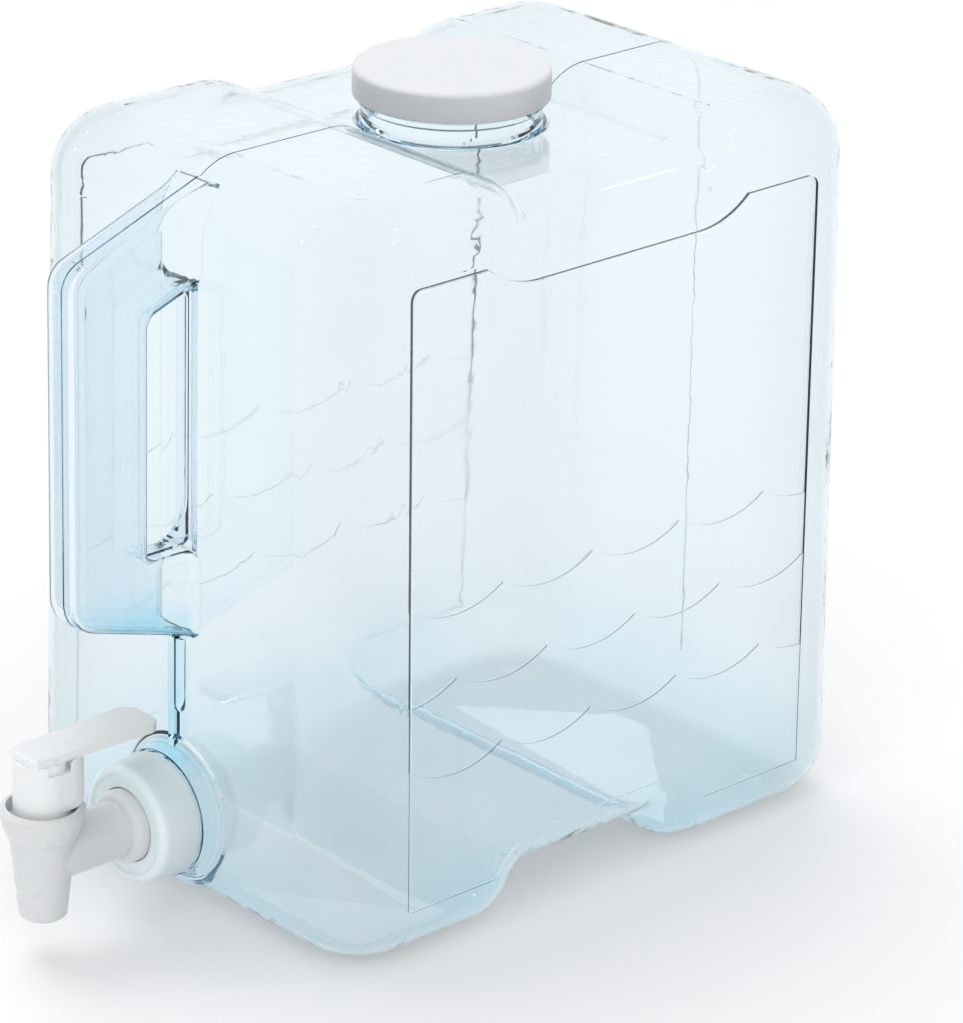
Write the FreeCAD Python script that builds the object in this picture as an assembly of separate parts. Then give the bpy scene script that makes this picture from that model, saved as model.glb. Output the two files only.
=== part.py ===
import FreeCAD, Part
import math
import os
from FreeCAD import Vector

# A slim countertop beverage dispenser.  A clear blow-moulded tank stands on two feet, carries its own
# loop handle on the front wall, is filled through a screw-capped neck and empties through a turn tap.
# Millimetres, +Z up, -Y is the tap side.  While it is built, Y = 0 is the middle of the tank's top;
# the finished pieces are then moved along Y so that the origin is under the middle of the whole object.

# ---- tank shell ----
wall = 1.6
tank_height = 280.0
tank_depth = 253.2              # front wall to rear wall, at the top
rear_draft = 3.1                # the rear wall leans out by this much at the base
tank_width_top = 178.0
tank_width_base = 188.8
corner_radius = 29.5
top_edge_radius = 25.0
base_edge_radius = 22.0

# ---- saddle across the top, and arch across the underside ----
saddle_drop = 8.5
saddle_front_y = -37.5
saddle_rear_y = 45.0
saddle_crease_radius = 2.0
arch_rise = 16.4
arch_front_y = -34.0
arch_rear_y = 25.0
arch_top_radius = 6.0
crest_allowance = 1.2           # crests are this much rounder than the edge rounding that runs over them

# ---- terraced side panels ----
panel_end_gap = 28.75           # from the front and rear walls to the panel's ends
panel_top_drop = 26.8           # below the tank's top
panel_corner_radius = 4.0
panel_dip = 8.8
panel_dip_flat = 78.0
panel_dip_radius = 38.0
terrace_step = 0.3
scallop_pitch = 43.4
scallop_sag = 6.2
upper_row_z = 136.3
row_spacing = 30.2
row_count = 3

# ---- loop handle on the front wall ----
handle_reach = 52.0
handle_half_width = 9.0
handle_edge_radius = 4.0
handle_flare_radius = 4.5
handle_flare_sink = 0.3         # the flares run into the front wall at a shallow angle
handle_top_root_drop = 7.6      # below the tank's top
handle_top_nose_drop = 27.0     # below the tank's top
handle_nose_length = 130.4
handle_base_root_drop = 17.7    # below the lower end of the nose
handle_top_nose_radius = 10.5
handle_base_nose_radius = 13.0
handle_root_depth = 16.0        # how far the handle's own form runs into the tank
grip_depth = 33.1
finger_top_drop = 49.5          # below the tank's top, at the front of the hole
finger_height = 90.5
finger_top_slope = 0.36
finger_corner_radius = 5.0
finger_groove_depth = 3.9       # the front wall is softly hollowed behind the fingers
finger_groove_radius = 9.0
finger_groove_edge_radius = 9.0
finger_groove_sink = 0.15       # the hollow leaves the wall at a shallow angle

# ---- moulded parting web, bead and rib on the middle plane ----
web_half_width = 1.65
web_proud = 0.5
web_inside_hole = 1.0
web_groove_lip = 0.7
web_heel_radius = 16.0
web_foot_radius = 6.0
bead_half_width = 0.6
bead_proud = 0.35
bead_low_gap = 4.0
rib_radius = 6.0
rib_proud = 2.2
rib_base_z = 80.0

# ---- filler neck ----
neck_radius = 32.4
neck_wall = 2.2
neck_root_radius = 3.0
neck_ring_radius = 33.4
neck_ring_z = 6.6               # above the saddle
neck_ring_height = 1.6
cap_base_z = 9.3                # above the saddle
neck_thread_z = 12.1            # above the saddle, middle of the thread's first turn
cap_pitch = 4.0
cap_thread_turns = 1.1
cap_thread_lead = 0.15          # share of a turn by which the cap's thread starts above its lip
thread_root_width = 1.8
thread_crest_width = 0.8
thread_depth = 1.3
thread_sink = 0.3               # the ridges run into what carries them
thread_clearance = 0.5

# ---- cap and liner ----
cap_height = 11.1
cap_top_wall = 1.7
cap_skirt = 1.5
cap_edge_radius = 2.0
cap_lip_radius = 0.5
liner_thickness = 1.0
liner_gap = 0.3
seat_gap = 0.05

# ---- spout moulded on the tank ----
tap_z = 38.0
boss_base_radius = 28.5
boss_top_radius = 23.6
boss_height = 8.0
spout_radius = 17.3
spout_bore_radius = 14.3
spout_length = 9.4
spout_pitch = 3.6
spout_thread_turns = 1.4

# ---- tap nut and gasket ----
gasket_thickness = 1.8
gasket_bore_radius = 10.5
nut_boss_gap = 0.6
nut_rear_radius = 23.0
nut_front_radius = 22.2
nut_front_wall = 2.7
nut_edge_radius = 3.2
nut_dish_radius = 19.0
nut_dish_depth = 1.0
nut_thread_clearance = 0.5

# ---- tap body ----
tap_reach = 61.1                # from the front wall to the nozzle's axis
flange_thickness = 2.4
flange_gap = 0.1
shoulder_radius = 13.5
shoulder_clearance = 0.4
shoulder_length = 7.4
shoulder_edge_radius = 3.0
barrel_radius = 10.6
barrel_bore_radius = 5.6
nozzle_end_z = 14.6
nozzle_end_radius = 8.5
nozzle_top_radius = 11.9
nozzle_edge_radius = 1.2
outlet_radius = 5.2
collar_base_z = 47.0
collar_base_radius = 12.9
collar_waist_z = 51.0
collar_waist_radius = 14.3
collar_top_z = 57.8
collar_top_radius = 15.3
recess_radius = 12.9
recess_depth = 4.8

# ---- turning plug with its lever ----
plug_radius = 7.5
plug_clearance = 0.08
plug_end_z = 27.3
plug_end_gap = 0.4
plug_core_radius = 4.6
plug_core_top_z = 44.2
window_height = 8.4
window_width = 7.6
snap_bead_z = 50.3
snap_bead_height = 1.4
snap_bead_proud = 0.45
snap_clearance = 0.25
head_radius = 10.4
head_gap = 0.3
head_top_z = 76.2
lever_thickness = 3.3
lever_front = 8.8
lever_rear = 46.5
lever_front_half = 8.0
lever_rear_half = 10.0
lever_rear_radius = 5.5
lever_edge_radius = 0.9
lever_top_radius = 0.7
gusset_reach = 5.5              # the head is this much longer under the lever
gusset_height = 9.0             # full reach down to here, then it curves in to the round head
gusset_curve_radius = 14.0
gusset_foot_inset = 1.0         # the curve ends this far inside the round head
notch_height = 3.6
notch_depth = 1.3
notch_from_deg = -25.0
notch_to_deg = 49.0
stop_height = 2.6
stop_half_deg = 6.0
stop_gap_deg = 1.0
stop_sink = 0.2                 # the stops run into the recess's floor and side
turn_deg = 90.0
lug_sink = 1.0                  # the plug's lug runs into its head

# ---- seal rings on the plug ----
seal_section_radius = 0.75
seal_groove_depth = 1.5
seal_groove_slack = 0.12
lower_seal_z = 30.2
upper_seal_z = 46.2

X = Vector(1, 0, 0)
Y = Vector(0, 1, 0)
Z = Vector(0, 0, 1)
FAR = 400.0                     # longer than the whole object, for tools that cut right through it
PAST = 1.0                      # how far a cutting tool runs past the face it cuts

# ---- places that follow from the sizes above ----
front_y = -tank_depth / 2
rear_y = tank_depth / 2
saddle_z = tank_height - saddle_drop
nose_y = front_y - handle_reach
finger_front_y = nose_y + grip_depth
handle_top_root_z = tank_height - handle_top_root_drop
handle_top_nose_z = tank_height - handle_top_nose_drop
handle_base_nose_z = handle_top_nose_z - handle_nose_length
handle_base_root_z = handle_base_nose_z - handle_base_root_drop
finger_top_front_z = tank_height - finger_top_drop
finger_base_z = finger_top_front_z - finger_height
panel_length = tank_depth - 2 * panel_end_gap
panel_top_z = tank_height - panel_top_drop
cap_low_z = saddle_z + cap_base_z
cap_high_z = cap_low_z + cap_height
cap_radius = neck_radius + thread_depth + thread_clearance + cap_skirt
cap_bore_radius = cap_radius - cap_skirt
liner_top_z = cap_high_z - cap_top_wall - seat_gap
neck_rim_z = liner_top_z - liner_thickness - seat_gap
boss_y = front_y - boss_height
spout_rim_y = boss_y - spout_length
flange_rear_y = spout_rim_y - gasket_thickness
flange_front_y = flange_rear_y - flange_thickness
nut_rear_y = boss_y - nut_boss_gap
nut_front_y = flange_front_y - flange_gap - nut_front_wall
nut_bore_radius = spout_radius + thread_depth + nut_thread_clearance
tap_y = front_y - tap_reach
recess_floor_z = collar_top_z - recess_depth
head_base_z = recess_floor_z + head_gap
plug_bore_radius = plug_radius + plug_clearance


def line(a, b):
    return Part.LineSegment(a, b).toShape()


def rounded_loop(points, radii):
    """A closed wire through the points, with each corner rounded by its own radius (0 leaves it sharp)."""
    count = len(points)
    starts, ends, mids = [], [], []
    for i, corner in enumerate(points):
        before = (points[i - 1] - corner).normalize()
        after = (points[(i + 1) % count] - corner).normalize()
        half = before.getAngle(after) / 2
        back = radii[i] / math.tan(half)
        starts.append(corner + before * back)
        ends.append(corner + after * back)
        inward = (before + after).normalize()
        mids.append(corner + inward * (radii[i] / math.sin(half) - radii[i]))
    edges = []
    for i in range(count):
        if radii[i] > 0:
            edges.append(Part.Arc(starts[i], mids[i], ends[i]).toShape())
        edges.append(line(ends[i], starts[(i + 1) % count]))
    return Part.Wire(edges)


def prism_x(wire, half_width):
    """The outline, drawn in the YZ plane, made solid from -half_width to +half_width."""
    solid = Part.Face(wire).extrude(X * (2 * half_width))
    solid.translate(X * -half_width)
    return solid


def turned(profile, centre, axis):
    """A solid of revolution.  The profile lists (radius, height) pairs and runs along the axis."""
    radial = Y if abs(axis.dot(X)) > 0.5 else X
    points = [centre + radial * r + axis * h for r, h in profile]
    return Part.Face(Part.makePolygon(points + [points[0]])).revolve(centre, axis, 360)


def ring_sector(inner, outer, low_z, high_z, from_deg, to_deg):
    """A sector of a ring about the plug's axis; angles are measured from +X."""
    sector = Part.makeCylinder(outer, high_z - low_z, Vector(0, 0, low_z), Z, to_deg - from_deg)
    sector = sector.cut(Part.makeCylinder(inner, high_z - low_z, Vector(0, 0, low_z), Z))
    sector.rotate(Vector(), Z, from_deg)
    sector.translate(Vector(0, tap_y, 0))
    return sector


def thread_ridge(radius, depth, pitch, turns, start):
    """A right-hand ridge on a cylinder about Z.  A negative depth makes it stand inwards."""
    root = radius - math.copysign(thread_sink, depth)
    crest = radius + depth
    corners = [
        Vector(root, 0, -thread_root_width / 2),
        Vector(crest, 0, -thread_crest_width / 2),
        Vector(crest, 0, thread_crest_width / 2),
        Vector(root, 0, thread_root_width / 2),
    ]
    path = Part.Wire(Part.makeHelix(pitch, pitch * turns, radius))
    ridge = path.makePipeShell([Part.makePolygon(corners + [corners[0]])], True, True)
    ridge.translate(start)
    return ridge


def edges_where(shape, test):
    picked = []
    for edge in shape.Edges:
        middle = edge.valueAt((edge.FirstParameter + edge.LastParameter) / 2)
        if test(edge, middle):
            picked.append(edge)
    return picked


# ---- tank ----
def plan_loop(half_width, rear, z, inset):
    x = half_width - inset
    front = front_y + inset
    back = rear - inset
    corners = [Vector(-x, front, z), Vector(-x, back, z), Vector(x, back, z), Vector(x, front, z)]
    return rounded_loop(corners, [corner_radius - inset] * 4)


def step_length(height, first_radius, second_radius):
    """How long an S-shaped step of two arcs is."""
    return math.sqrt(height * (2 * (first_radius + second_radius) - height))


def side_outline(inset):
    """The tank from the side, with its saddle and its arch, open-ended past the front and rear walls."""
    top = tank_height - inset
    base = inset
    crest = top_edge_radius + crest_allowance - inset
    crease = saddle_crease_radius + inset
    foot = base_edge_radius + crest_allowance - inset
    arch = arch_top_radius + inset
    saddle_run = step_length(saddle_drop, crest, crease)
    arch_run = step_length(arch_rise, foot, arch)

    def step(y, z, run, rise, leaving, arriving):
        """An S from (y, z) to (y + run, z + rise) through the point where its two arcs meet."""
        share = leaving / (leaving + arriving)
        join = Vector(0, y + run * share, z + rise * share)
        side = math.copysign(1.0, rise)
        first_centre = Vector(0, y, z + side * leaving)
        second_centre = Vector(0, y + run, z + rise - side * arriving)
        start = Vector(0, y, z)
        end = Vector(0, y + run, z + rise)
        arcs = []
        halves = ((start, join, first_centre, leaving), (join, end, second_centre, arriving))
        for a, b, centre, radius in halves:
            towards = ((a + b) * 0.5 - centre).normalize()
            arcs.append(Part.Arc(a, centre + towards * radius, b).toShape())
        return arcs

    front_crest = saddle_front_y - saddle_run
    rear_crest = saddle_rear_y + saddle_run
    front_foot = arch_front_y - arch_run
    rear_foot = arch_rear_y + arch_run
    edges = [line(Vector(0, -FAR, top), Vector(0, front_crest, top))]
    edges += step(front_crest, top, saddle_run, -saddle_drop, crest, crease)
    low = top - saddle_drop
    edges.append(line(Vector(0, saddle_front_y, low), Vector(0, saddle_rear_y, low)))
    edges += step(saddle_rear_y, low, saddle_run, saddle_drop, crease, crest)
    edges.append(line(Vector(0, rear_crest, top), Vector(0, FAR, top)))
    edges.append(line(Vector(0, FAR, top), Vector(0, FAR, base)))
    edges.append(line(Vector(0, FAR, base), Vector(0, rear_foot, base)))
    high = base + arch_rise
    edges += step(rear_foot, base, -arch_run, arch_rise, foot, arch)
    edges.append(line(Vector(0, arch_rear_y, high), Vector(0, arch_front_y, high)))
    edges += step(arch_front_y, high, -arch_run, -arch_rise, arch, foot)
    edges.append(line(Vector(0, front_foot, base), Vector(0, -FAR, base)))
    edges.append(line(Vector(0, -FAR, base), Vector(0, -FAR, top)))
    return Part.Wire(edges)


def tank_block(inset):
    """The tank's drafted walls alone, shrunk by inset."""
    low = plan_loop(tank_width_base / 2, rear_y + rear_draft, 0, inset)
    high = plan_loop(tank_width_top / 2, rear_y, tank_height, inset)
    return Part.makeLoft([low, high], True, True)


def tank_form(inset):
    """The tank's outer form, or that form shrunk by inset all round."""
    form = tank_block(inset).common(prism_x(side_outline(inset), FAR / 2))
    middle_z = tank_height / 2

    def on_rim(edge, middle):
        box = edge.BoundBox
        upright = box.ZLength > middle_z
        crosses = abs(middle.x) < 1 and box.XLength > tank_width_top / 2
        end_wall = abs(middle.y) > rear_y - corner_radius
        return not upright and (end_wall or not crosses)

    upper_rim = edges_where(form, lambda e, m: m.z > middle_z and on_rim(e, m))
    form = form.makeFillet(top_edge_radius - inset, upper_rim)
    lower_rim = edges_where(form, lambda e, m: m.z < middle_z and on_rim(e, m))
    return form.makeFillet(base_edge_radius - inset, lower_rim)


def scallop_line(row):
    """Points and arcs of one row of hanging scallops, from the panel's front end to its rear end."""
    z = upper_row_z - row * row_spacing
    half = panel_length / 2
    start = -half - (scallop_pitch / 2 if row % 2 else 0.0)
    # a circle through two neighbouring cusps and the lowest point between them
    radius = (scallop_pitch ** 2 / 4 + scallop_sag ** 2) / (2 * scallop_sag)

    def height(y, centre):
        return z - scallop_sag + radius - math.sqrt(radius ** 2 - (y - centre) ** 2)

    edges = []
    y = start
    while y < half - 1e-6:
        centre = y + scallop_pitch / 2
        a = max(y, -half)
        b = min(y + scallop_pitch, half)
        m = (a + b) / 2
        points = [Vector(0, v, height(v, centre)) for v in (a, m, b)]
        edges.append(Part.Arc(*points).toShape())
        y += scallop_pitch
    return edges


def panel_outline():
    """The panel's outline.  Its top edge dips in the middle, as the saddle above it does."""
    half = panel_length / 2
    low = panel_top_z - panel_dip
    flat = panel_dip_flat / 2
    run = math.sqrt(panel_dip * (2 * panel_dip_radius - panel_dip))
    sweep = math.asin(run / panel_dip_radius) / 2
    arc_y = panel_dip_radius * math.sin(sweep)
    arc_z = panel_dip_radius * (1 - math.cos(sweep))
    r = panel_corner_radius
    bend = r * (1 - math.sqrt(0.5))
    top = panel_top_z
    base = base_edge_radius
    # from the lower front end to the middle of the dip; the rear half mirrors it
    corner = [(-half, top - r), (-half + bend, top - bend), (-half + r, top)]
    curve = [(-flat - run, top), (-flat - arc_y, low + arc_z), (-flat, low)]

    def arc(points):
        return Part.Arc(*[Vector(0, y, z) for y, z in points]).toShape()

    def mirrored(points):
        return [(-y, z) for y, z in reversed(points)]

    arcs = [corner, curve, mirrored(curve), mirrored(corner)]
    edges = []
    before = (-half, base)
    for points in arcs:
        edges.append(line(Vector(0, *before), Vector(0, *points[0])))
        edges.append(arc(points))
        before = points[2]
    edges.append(line(Vector(0, *before), Vector(0, half, base)))
    edges.append(line(Vector(0, half, base), Vector(0, -half, base)))
    return Part.Wire(edges)


def area_below(row):
    """Everything in the side view that hangs below one row of scallops."""
    edges = scallop_line(row)
    first = edges[0].Vertexes[0].Point
    last = edges[-1].Vertexes[-1].Point
    low = -FAR / 4
    edges.append(line(last, Vector(0, last.y, low)))
    edges.append(line(Vector(0, last.y, low), Vector(0, first.y, low)))
    edges.append(line(Vector(0, first.y, low), first))
    return Part.Wire(edges)


def panelled_form(inset):
    """The tank's form with the side panels, which get shallower by one step below each scalloped row."""
    form = tank_form(inset)
    panel = prism_x(panel_outline(), FAR / 2)
    terraces = [panel]
    for row in reversed(range(row_count)):
        terraces.append(panel.cut(prism_x(area_below(row), FAR / 2)))
    for level, terrace in enumerate(terraces):
        form = form.cut(terrace.cut(tank_block(inset + terrace_step * (level + 1))))
    return form


# ---- handle, web and rib ----
def handle_side(outset):
    """The handle seen from the side.  Its root corners lie inside the tank."""
    nose = nose_y - outset
    top_slope = (handle_top_root_z - handle_top_nose_z) / handle_reach
    base_slope = (handle_base_nose_z - handle_base_root_z) / handle_reach
    top_lift = outset * math.hypot(1, top_slope)
    base_lift = outset * math.hypot(1, base_slope)
    run_in = top_edge_radius / 3
    root = front_y + run_in
    deep = front_y + handle_root_depth
    top_root = handle_top_root_z + top_slope * run_in + top_lift
    base_root = handle_base_root_z - base_slope * run_in - base_lift
    corners = [
        Vector(0, deep, base_root),
        Vector(0, nose, handle_base_nose_z - base_lift + base_slope * outset),
        Vector(0, nose, handle_top_nose_z + top_lift - top_slope * outset),
        Vector(0, root, top_root),
        Vector(0, deep, top_root - run_in),
    ]
    radii = [0, handle_base_nose_radius + outset, handle_top_nose_radius + outset, 0, 0]
    return rounded_loop(corners, radii)


def finger_side(outset, rear, heel):
    """The finger hole seen from the side; heel is the radius of its lower corner by the tank."""
    front = finger_front_y - outset
    base = finger_base_z - outset
    top_front = finger_top_front_z + outset
    top_rear = top_front + finger_top_slope * (rear - front)
    corners = [
        Vector(0, front, base),
        Vector(0, front, top_front),
        Vector(0, rear, top_rear),
        Vector(0, rear, base),
    ]
    r = finger_corner_radius + outset
    return rounded_loop(corners, [r, r, min(heel, r), heel])


def handle_form(inset):
    """The hollow loop: a leg of rounded section whose two arms flare into the front wall."""
    half = handle_half_width - inset
    flare = handle_flare_radius + inset
    tangent = front_y + inset - flare + handle_flare_sink
    wide = half + flare
    deep = front_y + handle_root_depth
    nose = nose_y + inset
    bend = flare * math.sqrt(0.5)
    plan = []
    for side in (1, -1):
        arc = Part.Arc(
            Vector(side * half, tangent, 0),
            Vector(side * (wide - bend), tangent + bend, 0),
            Vector(side * wide, tangent + flare, 0),
        ).toShape()
        plan += [line(Vector(side * half, nose, 0), Vector(side * half, tangent, 0)), arc]
        plan.append(line(Vector(side * wide, tangent + flare, 0), Vector(side * wide, deep, 0)))
    plan.append(line(Vector(-half, nose, 0), Vector(half, nose, 0)))
    plan.append(line(Vector(-wide, deep, 0), Vector(wide, deep, 0)))
    section = Part.Face(Part.Wire(Part.__sortEdges__(plan)))
    # above the front wall the flares follow the tank's rounded top edge
    bend_z = tank_height - top_edge_radius
    column = section.extrude(Z * bend_z)
    section.translate(Z * bend_z)
    over_the_edge = section.revolve(Vector(0, front_y + top_edge_radius, bend_z), -X, 90)
    column = column.fuse(over_the_edge).removeSplitter()
    form = column.common(prism_x(handle_side(-inset), FAR / 2))
    hole = prism_x(finger_side(inset, deep + PAST, finger_corner_radius), FAR / 2)
    form = form.cut(hole)

    def rim(edge, middle):
        box = edge.BoundBox
        outside = middle.y < front_y + inset + wall and abs(middle.x) > 0.5
        upright = box.XLength < 1e-3 and box.YLength < 1e-3
        seam = upright and middle.y > tangent - 1e-3
        return outside and not seam

    return form.makeFillet(handle_edge_radius - inset, edges_where(form, rim))


def finger_groove(inset):
    """The upright hollow in the front wall, behind the fingers.  Its sides are S-shaped."""
    floor = finger_groove_radius + inset
    edge = finger_groove_edge_radius - inset
    drop = finger_groove_depth + finger_groove_sink
    run = step_length(drop, floor, edge)
    mouth_y = front_y + inset - finger_groove_sink
    floor_y = mouth_y + drop
    share = floor / (floor + edge)
    join_x = run * share
    join_y = floor_y - drop * share
    low_angle = math.asin(join_x / floor) / 2
    high_angle = math.asin((run - join_x) / edge) / 2
    plan = [line(Vector(-run, mouth_y, 0), Vector(run, mouth_y, 0))]
    for side in (1, -1):
        plan.append(Part.Arc(
            Vector(0, floor_y, 0),
            Vector(side * floor * math.sin(low_angle), floor_y - floor * (1 - math.cos(low_angle)), 0),
            Vector(side * join_x, join_y, 0),
        ).toShape())
        plan.append(Part.Arc(
            Vector(side * join_x, join_y, 0),
            Vector(side * (run - edge * math.sin(high_angle)), mouth_y + edge * (1 - math.cos(high_angle)), 0),
            Vector(side * run, mouth_y, 0),
        ).toShape())
    hollow = Part.Face(Part.Wire(Part.__sortEdges__(plan))).extrude(Z * tank_height)
    return hollow.common(prism_x(finger_side(inset, floor_y + PAST, finger_corner_radius), FAR / 2))


def parting_web():
    """The pinched web: a bead round the handle, a rim in the finger hole and a rib below it."""
    plate = prism_x(handle_side(web_proud), web_half_width)
    rim_y = front_y + finger_groove_depth - web_groove_lip
    plate = plate.cut(prism_x(finger_side(-web_inside_hole, rim_y, web_heel_radius), FAR / 2))
    rib_length = handle_base_nose_z - tap_z
    rib_y = front_y - rib_proud
    strip_y = rib_y - web_proud
    strip_corner = Vector(-web_half_width, strip_y, tap_z)
    strip = Part.makeBox(2 * web_half_width, handle_root_depth, rib_length, strip_corner)
    plate = plate.fuse(strip).removeSplitter()

    def under_the_handle(edge, middle):
        return abs(middle.x) < 1e-3 and abs(middle.y - strip_y) < 1e-3 and edge.BoundBox.ZLength < 1e-3

    inner_corner = edges_where(plate, lambda e, m: under_the_handle(e, m) and m.z > tap_z + PAST)
    plate = plate.makeFillet(web_foot_radius, inner_corner)
    rib_foot = Vector(0, rib_y + rib_radius, rib_base_z)
    rib = Part.makeCylinder(rib_radius, handle_base_root_z - rib_base_z, rib_foot, Z)
    return plate.fuse([rib, Part.makeSphere(rib_radius, rib_foot)])


def parting_bead():
    """The fine bead that the mould's parting line leaves round the tank, clear of the feet."""
    front = front_y - bead_proud
    rear = rear_y + bead_proud
    top = tank_height + bead_proud
    corners = [
        Vector(0, front, 0),
        Vector(0, front, top),
        Vector(0, rear, top),
        Vector(0, rear + rear_draft, 0),
    ]
    radii = [0, top_edge_radius + bead_proud, top_edge_radius + bead_proud, 0]
    walls = prism_x(rounded_loop(corners, radii), bead_half_width)
    bead = walls.common(prism_x(side_outline(-bead_proud), bead_half_width))
    return bead.cut(Part.makeBox(FAR, FAR, base_edge_radius + bead_low_gap, Vector(-FAR / 2, -FAR / 2, 0)))


# ---- neck, boss and spout ----
def neck_outer():
    r = neck_root_radius
    profile = [(0, -wall), (neck_radius + r, -wall), (neck_radius + r, 0)]
    for degrees in (22.5, 45, 67.5, 90):
        angle = math.radians(degrees)
        profile.append((neck_radius + r - r * math.sin(angle), r - r * math.cos(angle)))
    slope = neck_ring_radius - neck_radius
    ring_top = neck_ring_z + neck_ring_height
    profile += [(neck_radius, neck_ring_z - slope), (neck_ring_radius, neck_ring_z)]
    profile += [(neck_ring_radius, ring_top), (neck_radius, ring_top)]
    profile += [(neck_radius, neck_rim_z - saddle_z), (0, neck_rim_z - saddle_z)]
    return turned(profile, Vector(0, 0, saddle_z), Z)


def boss_form(inset):
    """The round boss behind the tap.  It narrows in a hollow curve and is as hollow as the tank."""
    sunk = -inset - wall
    top = boss_height - inset
    profile = [(0, sunk), (boss_base_radius + wall - inset, sunk)]
    for degrees in (0, 22.5, 45, 67.5, 90):
        angle = math.radians(degrees)
        r = boss_top_radius + (boss_base_radius - boss_top_radius) * (1 - math.sin(angle))
        profile.append((r - inset, top * (1 - math.cos(angle))))
    profile.append((0, top))
    return turned(profile, Vector(0, front_y, tap_z), -Y)


def make_tank():
    thread_start = Vector(0, 0, saddle_z + neck_thread_z)
    neck_thread = thread_ridge(neck_radius, thread_depth, cap_pitch, cap_thread_turns, thread_start)
    spout_thread = thread_ridge(spout_radius, thread_depth, spout_pitch, spout_thread_turns, Vector())
    spout_thread.rotate(Vector(), X, 90)
    spout_thread.translate(Vector(0, boss_y - thread_root_width, tap_z))
    spout = Part.makeCylinder(spout_radius, boss_height + spout_length, Vector(0, front_y, tap_z), -Y)
    outer = panelled_form(0).cut(finger_groove(0))
    for form in (handle_form(0), parting_web(), parting_bead(), neck_outer(), boss_form(0), spout):
        outer = outer.fuse(form)
    outer = outer.fuse([neck_thread, spout_thread])
    mouth = Part.makeCylinder(neck_radius - neck_wall, FAR / 2, Vector(0, 0, saddle_z - 2 * wall), Z)
    drain = Part.makeCylinder(spout_bore_radius, FAR / 8, Vector(0, front_y + 2 * wall, tap_z), -Y)
    inner = panelled_form(wall).cut(finger_groove(wall))
    for form in (handle_form(wall), boss_form(wall), mouth, drain):
        inner = inner.fuse(form)
    return outer.cut(inner)


# ---- cap and liner ----
def make_cap():
    base = Vector(0, 0, cap_low_z)
    cup = Part.makeCylinder(cap_radius, cap_height, base, Z)
    top_edge = edges_where(cup, lambda e, m: abs(m.z - cap_high_z) < 1e-3 and e.Length > cap_radius)
    cup = cup.makeFillet(cap_edge_radius, top_edge)
    low_edge = edges_where(cup, lambda e, m: abs(m.z - cap_low_z) < 1e-3 and e.Length > cap_radius)
    cup = cup.makeFillet(cap_lip_radius, low_edge)
    cup = cup.cut(Part.makeCylinder(cap_bore_radius, cap_height - cap_top_wall, base, Z))
    # the cap's thread lies half a pitch below the neck's, and starts where it clears the cap's lip
    start = Vector(0, 0, saddle_z + neck_thread_z - cap_pitch / 2 + cap_thread_lead * cap_pitch)
    ridge = thread_ridge(cap_bore_radius, -thread_depth, cap_pitch, cap_thread_turns, start)
    ridge.rotate(Vector(), Z, cap_thread_lead * 360)
    return cup.fuse(ridge)


def make_liner():
    return Part.makeCylinder(
        cap_bore_radius - liner_gap, liner_thickness, Vector(0, 0, liner_top_z - liner_thickness), Z
    )


# ---- tap ----
def make_gasket():
    ring = Part.makeCylinder(spout_radius, gasket_thickness, Vector(0, spout_rim_y, tap_z), -Y)
    bore = Part.makeCylinder(gasket_bore_radius, gasket_thickness, Vector(0, spout_rim_y, tap_z), -Y)
    return ring.cut(bore)


def make_nut():
    length = nut_rear_y - nut_front_y
    r = nut_edge_radius
    profile = [(0, 0), (nut_rear_radius, 0), (nut_front_radius, length - r)]
    for degrees in (22.5, 45, 67.5, 90):
        angle = math.radians(degrees)
        profile.append((nut_front_radius - r + r * math.cos(angle), length - r + r * math.sin(angle)))
    profile += [(nut_dish_radius - nut_dish_depth, length - nut_dish_depth), (0, length - nut_dish_depth)]
    shell = turned(profile, Vector(0, nut_rear_y, tap_z), -Y)
    depth = length - nut_front_wall
    shell = shell.cut(Part.makeCylinder(nut_bore_radius, depth, Vector(0, nut_rear_y, tap_z), -Y))
    hole = shoulder_radius + shoulder_clearance
    shell = shell.cut(Part.makeCylinder(hole, length, Vector(0, nut_rear_y, tap_z), -Y))
    ridge = thread_ridge(nut_bore_radius, -thread_depth, spout_pitch, spout_thread_turns, Vector())
    ridge.rotate(Vector(), X, 90)
    ridge.translate(Vector(0, boss_y - thread_root_width - spout_pitch / 2, tap_z))
    return shell.fuse(ridge)


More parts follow.
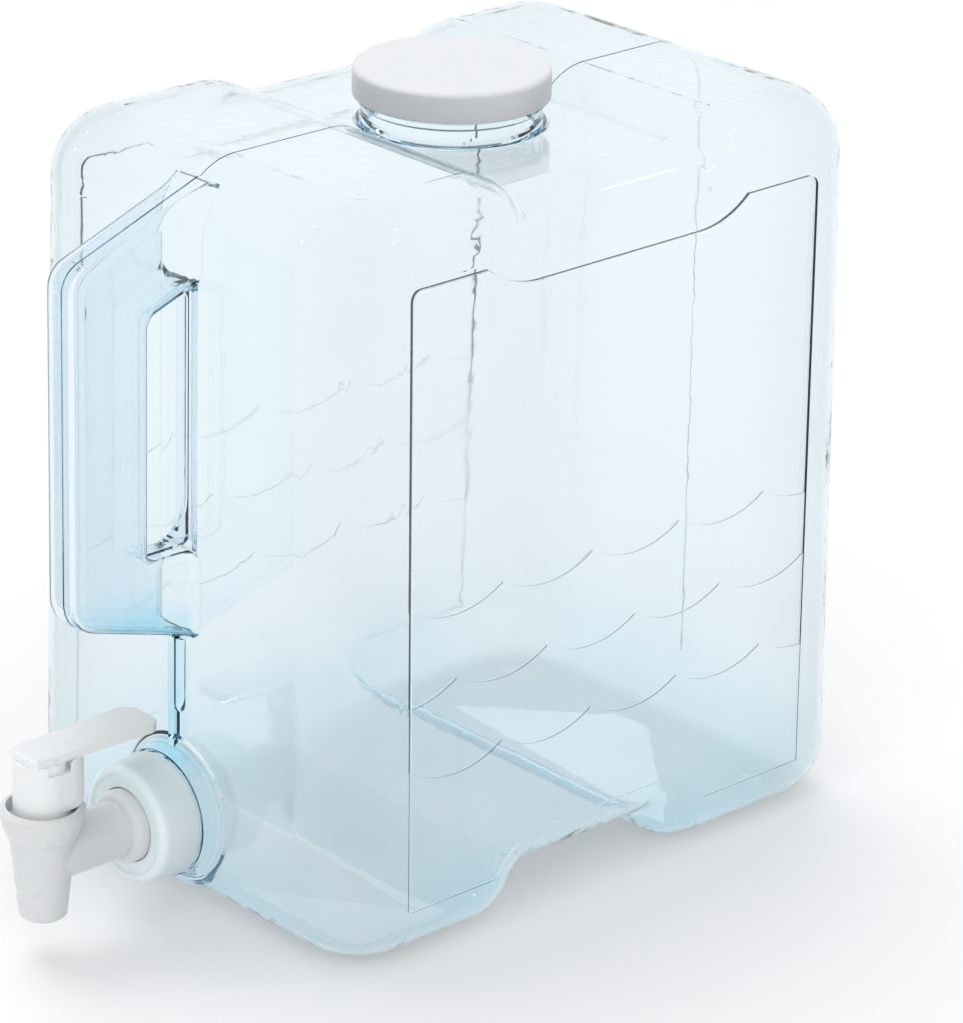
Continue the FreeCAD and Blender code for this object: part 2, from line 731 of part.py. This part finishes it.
def make_tap_body():
    slope = (nozzle_top_radius - nozzle_end_radius) / (collar_base_z - nozzle_end_z)
    r = nozzle_edge_radius
    profile = [
        (0, nozzle_end_z),
        (nozzle_end_radius - r, nozzle_end_z),
        (nozzle_end_radius + slope * r, nozzle_end_z + r),
        (nozzle_top_radius, collar_base_z),
        (collar_base_radius, collar_base_z),
        (collar_waist_radius, collar_waist_z),
        (collar_top_radius, collar_top_z - r),
        (collar_top_radius - r, collar_top_z),
        (0, collar_top_z),
    ]
    socket = turned(profile, Vector(0, tap_y, 0), Z)
    axis = Vector(0, flange_rear_y, tap_z)
    barrel = Part.makeCylinder(barrel_radius, flange_rear_y - tap_y, axis, -Y)
    socket = socket.fuse(barrel)
    shoulder = Part.makeCylinder(shoulder_radius, flange_thickness + shoulder_length, axis, -Y)
    end_y = flange_front_y - shoulder_length
    end_edge = edges_where(shoulder, lambda e, m: abs(m.y - end_y) < 1e-3 and e.Length > barrel_radius)
    shoulder = shoulder.makeFillet(shoulder_edge_radius, end_edge)
    # the flange is as wide as the spout, so that it passes through the nut's thread
    flange = Part.makeCylinder(spout_radius, flange_thickness, axis, -Y)
    body = socket.fuse([shoulder, flange])
    nozzle = Vector(0, tap_y, 0)
    snap_radius = plug_radius + snap_bead_proud + snap_clearance
    snap_half = snap_bead_height / 2 + snap_clearance
    snap_groove = [
        (0, snap_bead_z - snap_half),
        (snap_radius, snap_bead_z - snap_half),
        (snap_radius, snap_bead_z + snap_half),
        (0, snap_bead_z + snap_half),
    ]
    cuts = [
        Part.makeCylinder(barrel_bore_radius, flange_rear_y - tap_y, axis, -Y),
        Part.makeCylinder(plug_bore_radius, FAR, nozzle + Z * (plug_end_z - plug_end_gap), Z),
        Part.makeCylinder(outlet_radius, FAR, nozzle, Z),
        Part.makeCylinder(recess_radius, FAR, nozzle + Z * recess_floor_z, Z),
        turned(snap_groove, nozzle, Z),
    ]
    for cut in cuts:
        body = body.cut(cut)
    # two blocks in the recess stop the plug's lug at each end of its turn
    reach = 2 * stop_half_deg + stop_gap_deg
    low = recess_floor_z - stop_sink
    high = head_base_z + stop_height
    stops = []
    for centre in (90 + reach, 90 - turn_deg - reach):
        first = centre - stop_half_deg
        last = centre + stop_half_deg
        stops.append(ring_sector(head_radius + head_gap, recess_radius + stop_sink, low, high, first, last))
    return body.fuse(stops)


def lever_gusset():
    """The head's long back, under the lever: as wide as the head, curving in to it below."""
    tip = head_radius + gusset_reach
    low = collar_top_z + head_gap
    shoulder_z = head_top_z - gusset_height
    rise = shoulder_z - low
    inner = head_radius - gusset_foot_inset
    chord = math.hypot(tip - inner, rise)
    bulge = gusset_curve_radius - math.sqrt(gusset_curve_radius ** 2 - chord ** 2 / 4)
    middle_y = (tip + inner) / 2 + bulge * rise / chord
    middle_z = (shoulder_z + low) / 2 - bulge * (tip - inner) / chord
    middle = Vector(0, middle_y, middle_z)
    side = Part.Wire([
        line(Vector(0, 0, head_top_z), Vector(0, tip, head_top_z)),
        line(Vector(0, tip, head_top_z), Vector(0, tip, shoulder_z)),
        Part.Arc(Vector(0, tip, shoulder_z), middle, Vector(0, inner, low)).toShape(),
        line(Vector(0, inner, low), Vector(0, 0, low)),
        line(Vector(0, 0, low), Vector(0, 0, head_top_z)),
    ])
    column = Part.makeCylinder(head_radius, head_top_z, Vector(0, gusset_reach, 0), Z)
    straight = Part.makeBox(2 * head_radius, gusset_reach, head_top_z, Vector(-head_radius, 0, 0))
    column = column.fuse(straight)
    gusset = column.common(prism_x(side, head_radius + PAST))
    gusset.translate(Y * tap_y)
    return gusset


def make_plug():
    nozzle = Vector(0, tap_y, 0)
    bead_low = snap_bead_z - snap_bead_height / 2
    bead_high = snap_bead_z + snap_bead_height / 2
    bead = plug_radius + snap_bead_proud
    profile = [
        (0, plug_end_z),
        (plug_radius, plug_end_z),
        (plug_radius, bead_low),
        (bead, bead_low + snap_bead_proud),
        (bead, bead_high - snap_bead_proud),
        (plug_radius, bead_high),
        (plug_radius, head_base_z),
        (head_radius, head_base_z),
        (head_radius, head_top_z),
        (0, head_top_z),
    ]
    plug = turned(profile, nozzle, Z)
    front = tap_y - lever_front
    rear = tap_y + lever_rear
    corners = [
        Vector(-lever_front_half, front, head_top_z),
        Vector(-lever_rear_half, rear, head_top_z),
        Vector(lever_rear_half, rear, head_top_z),
        Vector(lever_front_half, front, head_top_z),
    ]
    radii = [lever_edge_radius, lever_rear_radius, lever_rear_radius, lever_edge_radius]
    lever = Part.Face(rounded_loop(corners, radii)).extrude(Z * lever_thickness)
    top_z = head_top_z + lever_thickness
    lever = lever.makeFillet(lever_top_radius, edges_where(lever, lambda e, m: abs(m.z - top_z) < 1e-3))
    plug = plug.fuse([lever, lever_gusset()])
    low = head_top_z - notch_height
    inside = head_radius - notch_depth
    notch = ring_sector(inside, head_radius + PAST, low, head_top_z, notch_from_deg, notch_to_deg)
    plug = plug.cut(notch)
    top = head_base_z + stop_height
    first = 90 - stop_half_deg
    last = 90 + stop_half_deg
    lug = ring_sector(head_radius - lug_sink, recess_radius - head_gap, head_base_z, top, first, last)
    plug = plug.fuse(lug)
    core = Part.makeCylinder(plug_core_radius, plug_core_top_z - plug_end_z, nozzle + Z * plug_end_z, Z)
    plug = plug.cut(core)
    # closed, the window faces -X; a quarter turn clockwise brings it round to the barrel
    window = Part.makeBox(2 * plug_radius, window_width, window_height)
    window.translate(Vector(-2 * plug_radius, tap_y - window_width / 2, tap_z - window_height / 2))
    plug = plug.cut(window)
    half = seal_section_radius + seal_groove_slack
    groove_floor = plug_radius - seal_groove_depth
    for z in (lower_seal_z, upper_seal_z):
        base = nozzle + Z * (z - half)
        groove = Part.makeCylinder(plug_radius + PAST, 2 * half, base, Z)
        groove = groove.cut(Part.makeCylinder(groove_floor, 2 * half, base, Z))
        plug = plug.cut(groove)
    return plug


def make_seal(z):
    centre_radius = plug_radius - seal_groove_depth + seal_section_radius + seat_gap / 2
    return Part.makeTorus(centre_radius, seal_section_radius, Vector(0, tap_y, z), Z)


pieces = {
    "tank": make_tank(),
    "fill_cap": make_cap(),
    "cap_liner": make_liner(),
    "tap_nut": make_nut(),
    "tap_gasket": make_gasket(),
    "tap_body": make_tap_body(),
    "lever_plug": make_plug(),
    "plug_seal_lower": make_seal(lower_seal_z),
    "plug_seal_upper": make_seal(upper_seal_z),
}

# the origin lies on the table, under the middle of the whole dispenser
overall = Part.makeCompound(list(pieces.values())).optimalBoundingBox(False, False)
to_origin = Vector(0, -(overall.YMin + overall.YMax) / 2, 0)

os.makedirs("parts", exist_ok=True)
for name, shape in pieces.items():
    shape.translate(to_origin)
    shape.exportStep(f"parts/{name}.step")
    box = shape.BoundBox
    print(name, "valid" if shape.isValid() else "INVALID", len(shape.Solids), "solid(s)",
          f"{box.XLength:.1f} x {box.YLength:.1f} x {box.ZLength:.1f}", f"{shape.Volume / 1000:.1f} cm3")
print("moved along Y by", round(to_origin.y, 3))
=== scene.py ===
# A slim clear beverage dispenser with a loop handle, a white screw cap and a white turn tap.
import math

import bpy
from mathutils import Matrix, Vector


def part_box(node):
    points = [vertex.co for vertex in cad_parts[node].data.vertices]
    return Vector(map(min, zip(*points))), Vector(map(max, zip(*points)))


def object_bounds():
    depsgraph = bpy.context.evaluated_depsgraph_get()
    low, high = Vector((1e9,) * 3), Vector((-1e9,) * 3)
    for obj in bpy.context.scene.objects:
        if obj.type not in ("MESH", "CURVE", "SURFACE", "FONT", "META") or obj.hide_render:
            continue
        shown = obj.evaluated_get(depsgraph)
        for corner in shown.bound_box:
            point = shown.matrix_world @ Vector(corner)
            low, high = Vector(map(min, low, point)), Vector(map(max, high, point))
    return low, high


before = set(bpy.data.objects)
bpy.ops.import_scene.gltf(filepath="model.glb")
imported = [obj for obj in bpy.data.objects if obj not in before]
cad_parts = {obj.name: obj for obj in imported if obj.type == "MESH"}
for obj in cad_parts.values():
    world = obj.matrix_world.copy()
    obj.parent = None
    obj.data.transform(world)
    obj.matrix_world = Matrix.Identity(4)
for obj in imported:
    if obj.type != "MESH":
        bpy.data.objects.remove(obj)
cad_low, cad_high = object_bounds()


# ---- places on the object, in metres ----
object_middle = (cad_low + cad_high) / 2
cap_low, cap_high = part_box("fill_cap")
cap_centre = (cap_low + cap_high) / 2
cap_to_front_wall = 0.1266
front_wall_y = cap_centre.y - cap_to_front_wall

mm_per_metre = 1000.0

# ---- light levels ----
world_fill = 0.64
world_faint = 0.4
floor_glow_bare = 0.25
floor_glow_through = 0.6
overhead_strength = 1.1
front_strength = 0.7
glint_width = 0.035
glint_watts = 0.3

# ---- camera: angles in degrees, lens and sensor in millimetres, the rest in metres ----
camera_azimuth = 46.54
camera_elevation = 22.65
camera_roll = 1.56
camera_distance = 1.82962
camera_aim_x = 0.02141
camera_aim_z = 0.12595
camera_lens = 175.98
camera_sensor = 36.0


# ---- node helpers ----
def new_material(name):
    """An empty node material, with its tree and its output node."""
    material = bpy.data.materials.new(name)
    material.use_nodes = True
    tree = material.node_tree
    tree.nodes.clear()
    output = tree.nodes.new("ShaderNodeOutputMaterial")
    return material, tree, output


def add_node(tree, kind, inputs=None, **settings):
    """A node with the given settings and the given default inputs, by name or by number."""
    node = tree.nodes.new(kind)
    for key, value in settings.items():
        setattr(node, key, value)
    for key, value in (inputs or {}).items():
        node.inputs[key].default_value = value
    return node


def new_group(name, inputs, outputs):
    """A node group with plain number inputs, given with their defaults, and the named outputs."""
    group = bpy.data.node_groups.new(name, "ShaderNodeTree")
    for label, value in inputs:
        socket = group.interface.new_socket(name=label, in_out="INPUT", socket_type="NodeSocketFloat")
        socket.default_value = value
    for label, kind in outputs:
        group.interface.new_socket(name=label, in_out="OUTPUT", socket_type=kind)
    return group, group.nodes.new("NodeGroupInput"), group.nodes.new("NodeGroupOutput")


def math_node(tree, operation, *values):
    """The result of a Math node whose inputs are sockets or plain numbers."""
    node = add_node(tree, "ShaderNodeMath", operation=operation)
    for index, value in enumerate(values):
        if isinstance(value, bpy.types.NodeSocket):
            tree.links.new(value, node.inputs[index])
        else:
            node.inputs[index].default_value = value
    return node.outputs[0]


def ramp(tree, value, low, high, top=1.0):
    """Nought below low, top above high, straight in between; low may be the larger."""
    node = add_node(tree, "ShaderNodeMapRange", {"From Min": low, "From Max": high, "To Max": top})
    tree.links.new(value, node.inputs["Value"])
    return node.outputs["Result"]


def colour_mix(tree, share, first, second):
    """A colour between two, each a socket or a plain colour, by the share of the second."""
    node = add_node(tree, "ShaderNodeMix", data_type="RGBA")
    factor, colours = node.inputs[0], node.inputs[6:8]
    tree.links.new(share, factor)
    for socket, colour in zip(colours, (first, second)):
        if isinstance(colour, bpy.types.NodeSocket):
            tree.links.new(colour, socket)
        else:
            socket.default_value = colour
    return node.outputs[2]


def shader_mix(tree, share, first, second):
    """One shader mixed into another by the share of the second."""
    node = add_node(tree, "ShaderNodeMixShader")
    tree.links.new(share, node.inputs["Fac"])
    tree.links.new(first, node.inputs[1])
    tree.links.new(second, node.inputs[2])
    return node.outputs[0]


# ---- shared surface effects ----
def make_moulded_grain():
    """Fine spark-eroded grain and faint handling marks of an injection-moulded face."""
    group, given, result = new_group(
        "moulded_grain",
        [("Grain size mm", 0.35), ("Smooth roughness", 0.3), ("Rough roughness", 0.42)],
        [("Height", "NodeSocketFloat"), ("Roughness", "NodeSocketFloat"), ("Marks", "NodeSocketFloat")],
    )
    place = add_node(group, "ShaderNodeTexCoord")
    scale = math_node(group, "DIVIDE", mm_per_metre, given.outputs["Grain size mm"])
    grain = add_node(group, "ShaderNodeTexNoise", {"Detail": 3.0, "Roughness": 0.6})
    group.links.new(place.outputs["Object"], grain.inputs["Vector"])
    group.links.new(scale, grain.inputs["Scale"])
    patches = add_node(group, "ShaderNodeTexNoise", {"Scale": 55.0, "Detail": 4.0, "Roughness": 0.55})
    group.links.new(place.outputs["Object"], patches.inputs["Vector"])
    spread = add_node(group, "ShaderNodeMapRange", {"From Min": 0.3, "From Max": 0.7})
    group.links.new(patches.outputs["Fac"], spread.inputs["Value"])
    group.links.new(given.outputs["Smooth roughness"], spread.inputs["To Min"])
    group.links.new(given.outputs["Rough roughness"], spread.inputs["To Max"])
    group.links.new(grain.outputs["Fac"], result.inputs["Height"])
    group.links.new(spread.outputs["Result"], result.inputs["Roughness"])
    group.links.new(patches.outputs["Fac"], result.inputs["Marks"])
    return group


def make_blown_skin():
    """The slow waves and shallow dimples that blow moulding leaves in a clear wall."""
    group, given, result = new_group(
        "blown_skin",
        [("Wave size mm", 45.0), ("Dimple size mm", 9.0), ("Dimple share", 0.25)],
        [("Height", "NodeSocketFloat"), ("Haze", "NodeSocketFloat")],
    )
    place = add_node(group, "ShaderNodeTexCoord")
    layers = []
    for label in ("Wave size mm", "Dimple size mm"):
        scale = math_node(group, "DIVIDE", mm_per_metre, given.outputs[label])
        noise = add_node(group, "ShaderNodeTexNoise", {"Detail": 1.0, "Roughness": 0.4})
        group.links.new(place.outputs["Object"], noise.inputs["Vector"])
        group.links.new(scale, noise.inputs["Scale"])
        layers.append(noise)
    joined = add_node(group, "ShaderNodeMix", data_type="FLOAT")
    group.links.new(given.outputs["Dimple share"], joined.inputs[0])
    group.links.new(layers[0].outputs["Fac"], joined.inputs[2])
    group.links.new(layers[1].outputs["Fac"], joined.inputs[3])
    group.links.new(joined.outputs[0], result.inputs["Height"])
    haze = add_node(
        group,
        "ShaderNodeMapRange",
        {"From Min": 0.35, "From Max": 0.7, "To Min": 0.02, "To Max": 0.06},
    )
    group.links.new(layers[0].outputs["Fac"], haze.inputs["Value"])
    group.links.new(haze.outputs["Result"], result.inputs["Haze"])
    return group


def make_wall_blue_and_corner_shade():
    """How blue the blown wall looks where it is thick, at rib, boss and feet, and a painted shade that
    greys the wall towards the corners.
    """
    group, given, result = new_group(
        "wall_blue_and_corner_shade",
        [("Front wall m", -0.09), ("Middle m", 0.0366), ("Thick below m", 0.125), ("Foot share", 0.45)],
        [("Blue", "NodeSocketFloat"), ("Painted corner shade", "NodeSocketFloat")],
    )
    place = add_node(group, "ShaderNodeTexCoord")
    split = add_node(group, "ShaderNodeSeparateXYZ")
    group.links.new(place.outputs["Object"], split.inputs[0])
    across = math_node(group, "ABSOLUTE", split.outputs["X"])
    beyond = math_node(group, "SUBTRACT", given.outputs["Front wall m"], split.outputs["Y"])
    below = math_node(group, "SUBTRACT", given.outputs["Thick below m"], split.outputs["Z"])
    ahead = ramp(group, beyond, -0.0003, 0.002)
    low = ramp(group, below, 0.0, 0.012)
    narrow = math_node(group, "ADD", ramp(group, across, 0.011, 0.007, 0.6), 0.4)
    rib = math_node(group, "MULTIPLY", math_node(group, "MULTIPLY", ahead, low), narrow)
    standing = ramp(group, split.outputs["Z"], 0.045, 0.01)
    foot = math_node(group, "MULTIPLY", standing, given.outputs["Foot share"])
    patches = add_node(group, "ShaderNodeTexNoise", {"Scale": 22.0, "Detail": 2.0, "Roughness": 0.5})
    group.links.new(place.outputs["Object"], patches.inputs["Vector"])
    uneven = math_node(group, "ADD", ramp(group, patches.outputs["Fac"], 0.3, 0.7, 0.3), 0.7)
    blue = math_node(group, "MULTIPLY", math_node(group, "MAXIMUM", rib, foot), uneven)
    off_middle = math_node(group, "SUBTRACT", split.outputs["Y"], given.outputs["Middle m"])
    along = math_node(group, "ABSOLUTE", off_middle)
    # painted shade: the wall's colour turns grey towards the upright corners
    corner = math_node(
        group, "MULTIPLY", ramp(group, across, 0.04, 0.09), ramp(group, along, 0.065, 0.12)
    )
    painted_corner_shade = math_node(group, "MULTIPLY", corner, uneven)
    group.links.new(blue, result.inputs["Blue"])
    group.links.new(painted_corner_shade, result.inputs["Painted corner shade"])
    return group


moulded_grain = make_moulded_grain()
blown_skin = make_blown_skin()
wall_blue_and_corner_shade = make_wall_blue_and_corner_shade()


# ---- materials ----
def clear_blown_plastic():
    material, tree, output = new_material("clear_blown_plastic")
    skin = add_node(tree, "ShaderNodeGroup", node_tree=blown_skin)
    bump = add_node(tree, "ShaderNodeBump", {"Strength": 1.0, "Distance": 0.00024})
    shader = add_node(
        tree, "ShaderNodeBsdfPrincipled", {"IOR": 1.49, "Transmission Weight": 1.0}
    )
    wall = add_node(tree, "ShaderNodeGroup", node_tree=wall_blue_and_corner_shade)
    wall.inputs["Front wall m"].default_value = front_wall_y
    wall.inputs["Middle m"].default_value = cap_centre.y
    thin_clear, thick_blue = (0.95, 0.973, 0.987, 1.0), (0.56, 0.86, 0.97, 1.0)
    # painted shade: the grey laid on the wall towards the corners
    corner_shade_grey = (0.875, 0.9, 0.91, 1.0)
    blue = colour_mix(tree, wall.outputs["Blue"], thin_clear, thick_blue)
    colour = colour_mix(tree, wall.outputs["Painted corner shade"], blue, corner_shade_grey)
    tree.links.new(colour, shader.inputs["Base Color"])
    tree.links.new(skin.outputs["Height"], bump.inputs["Height"])
    tree.links.new(bump.outputs["Normal"], shader.inputs["Normal"])
    tree.links.new(skin.outputs["Haze"], shader.inputs["Roughness"])
    # shadow rays pass the wall at a fixed share, so light reaches the floor through it
    passing = add_node(tree, "ShaderNodeBsdfTransparent", {"Color": (0.78, 0.78, 0.785, 1.0)})
    path = add_node(tree, "ShaderNodeLightPath")
    surface = shader_mix(tree, path.outputs["Is Shadow Ray"], shader.outputs[0], passing.outputs[0])
    tree.links.new(surface, output.inputs["Surface"])
    tint = add_node(
        tree, "ShaderNodeVolumeAbsorption", {"Color": (0.19, 0.66, 0.85, 1.0), "Density": 32.0}
    )
    tree.links.new(tint.outputs[0], output.inputs["Volume"])
    return material


def grained_surface(tree, output, shader, grain_size_mm, roughness, bump_strength, bump_depth):
    """The moulded grain on a shader's roughness and normal; puts out the grain's node."""
    grain = add_node(tree, "ShaderNodeGroup", node_tree=moulded_grain)
    grain.inputs["Grain size mm"].default_value = grain_size_mm
    grain.inputs["Smooth roughness"].default_value = roughness[0]
    grain.inputs["Rough roughness"].default_value = roughness[1]
    bump = add_node(tree, "ShaderNodeBump", {"Strength": bump_strength, "Distance": bump_depth})
    tree.links.new(grain.outputs["Roughness"], shader.inputs["Roughness"])
    tree.links.new(grain.outputs["Height"], bump.inputs["Height"])
    tree.links.new(bump.outputs["Normal"], shader.inputs["Normal"])
    tree.links.new(shader.outputs[0], output.inputs["Surface"])
    return grain


def white_moulded_plastic(name, colour, grain_mm, smooth, rough):
    material, tree, output = new_material(name)
    shader = add_node(
        tree,
        "ShaderNodeBsdfPrincipled",
        {"IOR": 1.5, "Subsurface Weight": 0.12, "Subsurface Scale": 0.003},
    )
    grain = grained_surface(tree, output, shader, grain_mm, (smooth, rough), 0.5, 0.00003)
    darker = [part * 0.96 for part in colour[:3]] + [1.0]
    tone = colour_mix(tree, grain.outputs["Marks"], colour, darker)
    tree.links.new(tone, shader.inputs["Base Color"])
    return material


def soft_rubber(name, colour):
    material, tree, output = new_material(name)
    shader = add_node(tree, "ShaderNodeBsdfPrincipled", {"Base Color": colour})
    grained_surface(tree, output, shader, 0.8, (0.55, 0.7), 0.6, 0.00005)
    return material


cap_white = white_moulded_plastic("cap_white", (0.76, 0.775, 0.79, 1.0), 0.35, 0.3, 0.42)
# painted shade: the tap body's white is toned down so that the nozzle is less bright in the front light
tap_white_painted_shade = white_moulded_plastic("tap_white_painted_shade", (0.73, 0.745, 0.74, 1.0), 0.3, 0.26, 0.38)
# painted light: the nut's white is lighter and bluish, standing in for the blue light that reaches it
# through the tank and for the shade it sits in
nut_white_painted_light = white_moulded_plastic("nut_white_painted_light", (0.84, 0.93, 0.95, 1.0), 0.35, 0.28, 0.4)
# painted light: the lever's white is lighter to make up for the shade of the handle above it
lever_white_painted_light = white_moulded_plastic("lever_white_painted_light", (0.88, 0.9, 0.895, 1.0), 0.3, 0.26, 0.38)
seal_rubber = soft_rubber("seal_rubber", (0.05, 0.05, 0.055, 1.0))
finishes = {
    "tank": clear_blown_plastic(),
    "fill_cap": cap_white,
    "cap_liner": soft_rubber("liner_foam", (0.75, 0.75, 0.73, 1.0)),
    "tap_nut": nut_white_painted_light,
    "tap_gasket": soft_rubber("gasket_silicone", (0.62, 0.62, 0.6, 1.0)),
    "tap_body": tap_white_painted_shade,
    "lever_plug": lever_white_painted_light,
    "plug_seal_lower": seal_rubber,
    "plug_seal_upper": seal_rubber,
}
for node, material in finishes.items():
    solid = bpy.data.objects[node]
    solid.data.materials.clear()
    solid.data.materials.append(material)


# ---- floor, world, lamps ----
def looked_at(tree, kinds):
    """One on a ray of one of the kinds that the eye sends; nought where a matt face gathers light."""
    path = add_node(tree, "ShaderNodeLightPath")
    seen = path.outputs[kinds[0]]
    for kind in kinds[1:]:
        seen = math_node(tree, "MAXIMUM", seen, path.outputs[kind])
    not_gathered = math_node(tree, "LESS_THAN", path.outputs["Diffuse Depth"], 0.5)
    return math_node(tree, "MULTIPLY", seen, not_gathered)


def make_floor():
    mesh = bpy.data.meshes.new("studio_floor")
    half = 8.0
    corners = [(-half, -half, 0), (half, -half, 0), (half, half, 0), (-half, half, 0)]
    mesh.from_pydata(corners, [], [(0, 1, 2, 3)])
    floor = bpy.data.objects.new("studio_floor", mesh)
    bpy.context.scene.collection.objects.link(floor)
    material, tree, output = new_material("studio_floor")
    matt = add_node(tree, "ShaderNodeBsdfDiffuse", {"Color": (0.97, 0.97, 0.97, 1.0)})
    glow = add_node(tree, "ShaderNodeEmission", {"Color": (1.0, 1.0, 1.0, 1.0), "Strength": 1.0})
    # the floor glows a little where it is seen bare, and more where it is seen through the clear walls
    seen_bare = looked_at(tree, ["Is Camera Ray", "Is Glossy Ray"])
    seen_through = looked_at(tree, ["Is Transmission Ray"])
    bare = math_node(tree, "MULTIPLY", seen_bare, floor_glow_bare)
    through = math_node(tree, "MULTIPLY", seen_through, floor_glow_through)
    share = math_node(tree, "MAXIMUM", bare, through)
    surface = shader_mix(tree, share, matt.outputs[0], glow.outputs[0])
    tree.links.new(surface, output.inputs["Surface"])
    mesh.materials.append(material)


def make_world():
    world = bpy.data.worlds.new("studio_world")
    world.use_nodes = True
    tree = world.node_tree
    tree.nodes.clear()
    output = tree.nodes.new("ShaderNodeOutputWorld")
    white, cool, cyan = (1.0, 1.0, 1.0, 1.0), (0.95, 0.97, 1.0, 1.0), (0.9, 0.97, 1.0, 1.0)
    seen_white = add_node(tree, "ShaderNodeBackground", {"Color": white, "Strength": 1.0})
    fill = add_node(tree, "ShaderNodeBackground", {"Color": cool, "Strength": world_fill})
    faint = add_node(tree, "ShaderNodeBackground", {"Color": cyan, "Strength": world_faint})
    path = add_node(tree, "ShaderNodeLightPath")
    # matt faces get most of their light through the walls straight, and only some by refraction
    gathered = shader_mix(
        tree, path.outputs["Is Transmission Ray"], fill.outputs[0], faint.outputs[0]
    )
    seen = looked_at(tree, ["Is Camera Ray", "Is Glossy Ray", "Is Transmission Ray"])
    surface = shader_mix(tree, seen, gathered, seen_white.outputs[0])
    tree.links.new(surface, output.inputs["Surface"])
    bpy.context.scene.world = world


def add_softbox(name, place, aim, width, watts):
    """A small round lamp that shows only by its glint on glossy faces and the light it casts."""
    light = bpy.data.lights.new(name, "AREA")
    light.shape = "DISK"
    light.size = width
    light.energy = watts
    lamp = bpy.data.objects.new(name, light)
    lamp.location = place
    lamp.rotation_euler = (Vector(aim) - Vector(place)).to_track_quat("-Z", "Y").to_euler()
    lamp.visible_transmission = False
    bpy.context.scene.collection.objects.link(lamp)


def add_ceiling_light(name, towards, spread_deg, strength):
    """Even light from one side, with soft shadows and no reflection of its own."""
    light = bpy.data.lights.new(name, "SUN")
    light.angle = math.radians(spread_deg)
    light.energy = strength
    lamp = bpy.data.objects.new(name, light)
    lamp.rotation_euler = Vector(towards).to_track_quat("-Z", "Y").to_euler()
    lamp.visible_glossy = False
    lamp.visible_transmission = False
    bpy.context.scene.collection.objects.link(lamp)


make_floor()
make_world()
add_ceiling_light("overhead_light", (0.42, -0.1, -0.9), 40.0, overhead_strength)
add_ceiling_light("front_light", (-0.52, 0.6, -0.6), 60.0, front_strength)
# small lamps for the glints on the rounded top edges
glints = [(-0.782, -0.783, 0.82), (-0.704, -0.459, 1.108), (0.46, 0.58, 1.26), (0.856, 0.305, 1.163)]
for number, place in enumerate(glints, 1):
    add_softbox(f"glint_{number}", place, object_middle, glint_width, glint_watts)
bpy.context.scene.view_settings.view_transform = "Standard"
# the eye and the lamps look through many clear walls, one behind the other
cycles = bpy.context.scene.cycles
cycles.max_bounces = 32
cycles.transmission_bounces = 32
cycles.glossy_bounces = 16
cycles.transparent_max_bounces = 48


# ---- camera ----
def add_camera():
    azimuth, elevation = math.radians(camera_azimuth), math.radians(camera_elevation)
    roll = math.radians(camera_roll)
    back = Vector((
        math.sin(azimuth) * math.cos(elevation),
        -math.cos(azimuth) * math.cos(elevation),
        math.sin(elevation),
    ))
    right = Vector((math.cos(azimuth), math.sin(azimuth), 0.0))
    up = back.cross(right)
    rolled_right = right * math.cos(roll) + up * math.sin(roll)
    rolled_up = up * math.cos(roll) - right * math.sin(roll)
    aim = Vector((camera_aim_x, cap_centre.y, camera_aim_z))
    place = aim + back * camera_distance
    data = bpy.data.cameras.new("view_camera")
    data.sensor_width = camera_sensor
    data.lens = camera_lens
    camera = bpy.data.objects.new("view_camera", data)
    camera.matrix_world = Matrix((
        (rolled_right.x, rolled_up.x, back.x, place.x),
        (rolled_right.y, rolled_up.y, back.y, place.y),
        (rolled_right.z, rolled_up.z, back.z, place.z),
        (0.0, 0.0, 0.0, 1.0),
    ))
    bpy.context.scene.collection.objects.link(camera)
    bpy.context.scene.camera = camera


add_camera()
